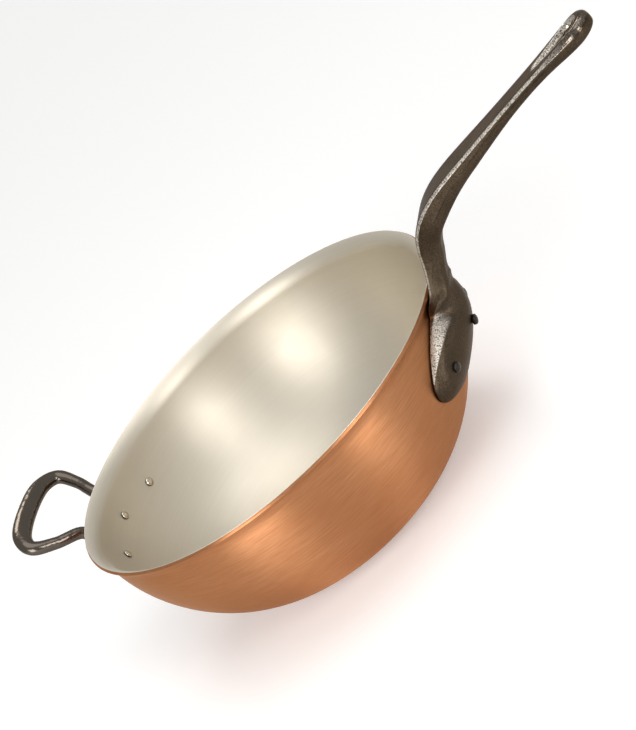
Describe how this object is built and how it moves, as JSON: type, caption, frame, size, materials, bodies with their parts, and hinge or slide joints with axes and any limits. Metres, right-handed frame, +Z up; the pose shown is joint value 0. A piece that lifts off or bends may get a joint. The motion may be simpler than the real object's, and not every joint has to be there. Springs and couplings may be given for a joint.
{
  "type": "wok",
  "caption": "Deep round-sided copper wok with a stainless lining, a flared lip, a long cast-iron handle with a hanging hole and a cast-iron helper loop, riveted on.",
  "frame": {"origin": "middle of the underside of the flat base, where the pan stands", "axes": "+Z up along the bowl's axis, +X along the long handle, away from the bowl"},
  "size_m": [0.5423, 0.3, 0.2036],
  "materials": {
    "copper": "copper, brushed round the bowl to a satin",
    "stainless": "stainless steel, satin",
    "cast_iron": "cast iron, tumbled and oiled, fine grain",
    "rivet": "stainless head inside, darkened tail outside"
  },
  "bodies": {
    "root": {"copper_shell": "copper", "steel_lining": "stainless", "long_handle": "cast_iron", "helper_handle": "cast_iron", "long_handle_rivet_left": "rivet", "long_handle_rivet_middle": "rivet", "long_handle_rivet_right": "rivet", "helper_handle_rivet_left": "rivet", "helper_handle_rivet_middle": "rivet", "helper_handle_rivet_right": "rivet"}
  },
  "joints": []
}
